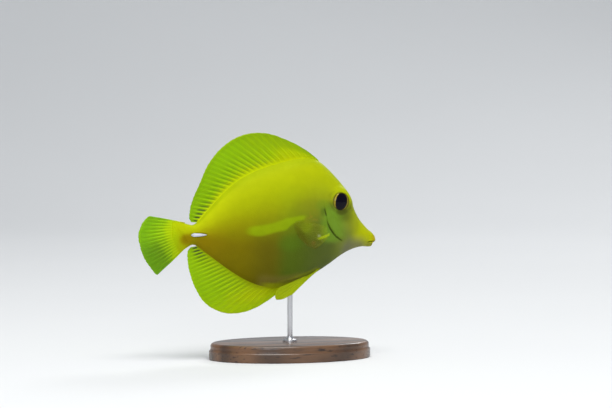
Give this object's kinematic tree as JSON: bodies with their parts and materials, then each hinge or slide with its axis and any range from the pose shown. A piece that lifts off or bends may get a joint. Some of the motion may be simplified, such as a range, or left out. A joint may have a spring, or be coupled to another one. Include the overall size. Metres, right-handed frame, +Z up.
{
  "type": "yellow tang fish model",
  "caption": "Life-size yellow tang in a swimming pose, with raised fin rays, gill covers and tail blades, on a flat oval base with a thin steel rod.",
  "frame": {"origin": "on the floor, under the middle of the whole model's length and width", "axes": "+X the way the fish heads, +Y to the fish's left, +Z up"},
  "size_m": [0.12, 0.054, 0.1084],
  "materials": {
    "skin": "bright lemon yellow skin with a satin sheen, olive on the lower flank and grey-green on the throat",
    "fins": "thin lime yellow fin skin, slightly see-through, with paler rays",
    "eyes": "wet black pupil in a dark iris flecked with gold",
    "blades": "smooth white",
    "stand_wood": "dark walnut, satin lacquer",
    "stand_steel": "fine brushed steel"
  },
  "bodies": {
    "root": {"head": "skin", "gill_cover_right": "skin", "gill_cover_left": "skin", "upper_jaw": "skin", "lower_jaw": "skin", "trunk": "skin", "tail_stalk": "skin", "dorsal_fin": "fins", "anal_fin": "fins", "tail_fin": "fins", "pectoral_fin_right": "fins", "pectoral_fin_left": "fins", "pelvic_fin_right": "fins", "pelvic_fin_left": "fins", "eye_right": "eyes", "eye_left": "eyes", "tail_blade_right": "blades", "tail_blade_left": "blades", "stand_base": "stand_wood", "stand_rod": "stand_steel", "stand_collar": "stand_steel"}
  },
  "joints": []
}
